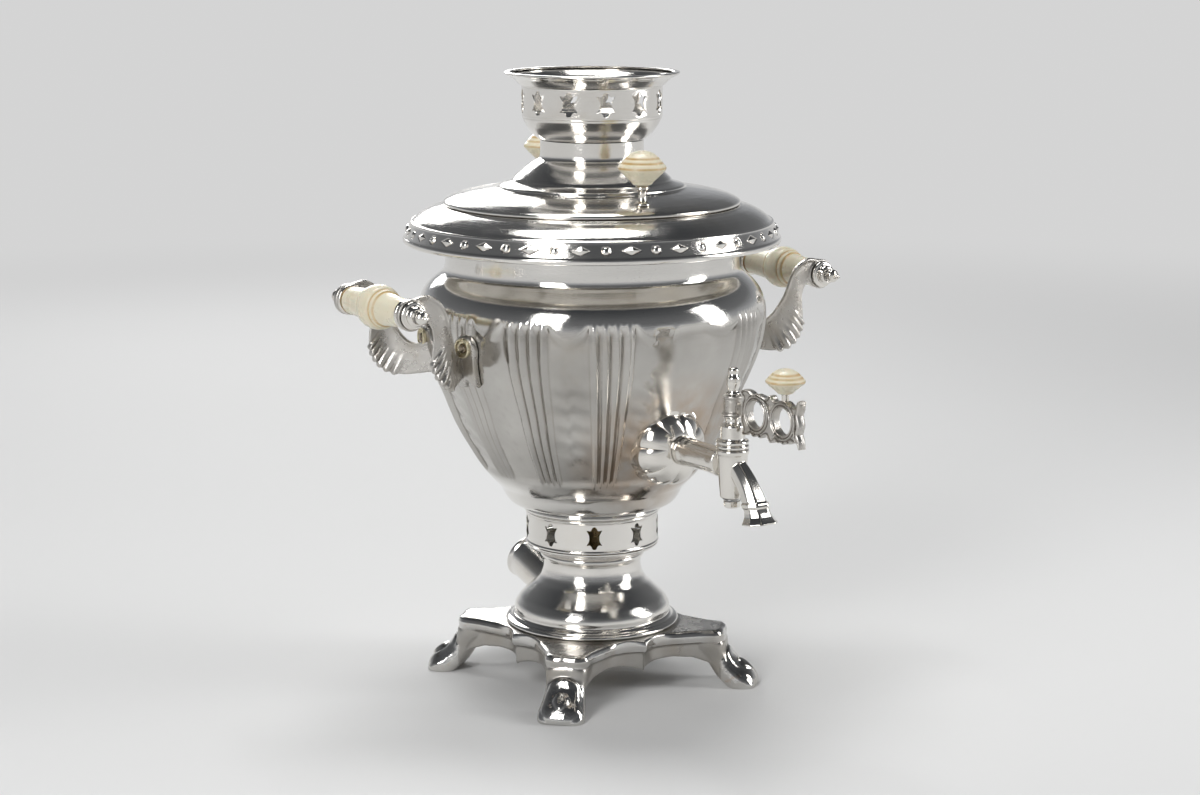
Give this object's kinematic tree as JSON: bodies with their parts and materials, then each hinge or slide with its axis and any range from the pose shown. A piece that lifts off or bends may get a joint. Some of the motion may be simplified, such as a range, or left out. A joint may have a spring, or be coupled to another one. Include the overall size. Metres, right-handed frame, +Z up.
{
  "type": "electric samovar",
  "caption": "Electric samovar: fluted tank on a pierced pedestal and footed base, with side handles, a tap with an openwork key, a lift-off lid and a crown for a teapot.",
  "frame": {"origin": "on the table under the middle of the whole outline", "axes": "+Z up, the tap looks along -Y, the handles stand on either side along X, the inlet is at +Y"},
  "size_m": [0.3298, 0.3256, 0.3845],
  "materials": {
    "nickel_polished": "nickel plate, mirror polished",
    "nickel_cast": "nickel plate on a casting, satin",
    "brass": "turned",
    "steel": "turned",
    "ivory_plastic": "moulded, semi-gloss",
    "rubber": "moulded",
    "bakelite": "moulded"
  },
  "bodies": {
    "vessel": {"base": "nickel_cast", "pedestal": "nickel_polished", "pierced_band": "nickel_polished", "body": "nickel_polished", "tie_tube": "brass", "tie_gasket": "rubber", "tie_washer": "steel", "tie_nut": "brass", "heating_element": "steel", "heater_gasket": "rubber", "heater_nut_front": "brass", "heater_nut_rear": "brass", "socket_shroud": "nickel_polished", "socket_insulator": "bakelite", "left_contact_pin": "brass", "right_contact_pin": "brass", "left_lead_wire": "rubber", "right_lead_wire": "rubber", "collar_ring": "nickel_polished", "left_front_bracket": "nickel_cast", "left_rear_bracket": "nickel_cast", "right_front_bracket": "nickel_cast", "right_rear_bracket": "nickel_cast", "left_handle_rod": "steel", "left_grip": "ivory_plastic", "left_front_ferrule": "nickel_polished", "left_front_acorn_nut": "nickel_polished", "left_rear_ferrule": "nickel_polished", "left_rear_acorn_nut": "nickel_polished", "right_handle_rod": "steel", "right_grip": "ivory_plastic", "right_front_ferrule": "nickel_polished", "right_front_acorn_nut": "nickel_polished", "right_rear_ferrule": "nickel_polished", "right_rear_acorn_nut": "nickel_polished", "right_rear_bracket_screw": "brass", "right_rear_cup_washer": "brass", "right_front_bracket_screw": "brass", "right_front_cup_washer": "brass", "left_rear_bracket_screw": "brass", "left_rear_cup_washer": "brass", "left_front_bracket_screw": "brass", "left_front_cup_washer": "brass", "tap_escutcheon": "nickel_polished", "tap_body": "nickel_cast", "tap_inner_gasket": "rubber", "tap_inner_nut": "brass"},
    "lid_set": {"lid": "nickel_polished", "lid_knob_front": "ivory_plastic", "lid_knob_rear": "ivory_plastic", "lid_knob_stem_front": "nickel_polished", "lid_knob_stem_rear": "nickel_polished"},
    "crown_set": {"crown": "nickel_polished"},
    "key_set": {"tap_plug": "brass", "tap_key": "nickel_cast", "key_finial": "nickel_polished", "key_knob_pin": "nickel_polished", "key_knob": "ivory_plastic", "plug_spring_washer": "steel", "plug_nut": "nickel_polished"}
  },
  "joints": [
    {"name": "tap_key_turn", "type": "hinge", "parent": "vessel", "child": "key_set", "pos_m": [0, -0.10034, 0.1642], "axis": [0, 0, 1], "range_deg": [-90, 90]},
    {"name": "lid_lift", "type": "slide", "parent": "vessel", "child": "lid_set", "axis": [0, 0, 1], "range_m": [0, 0.08]},
    {"name": "crown_lift", "type": "slide", "parent": "lid_set", "child": "crown_set", "axis": [0, 0, 1], "range_m": [0, 0.06]}
  ]
}
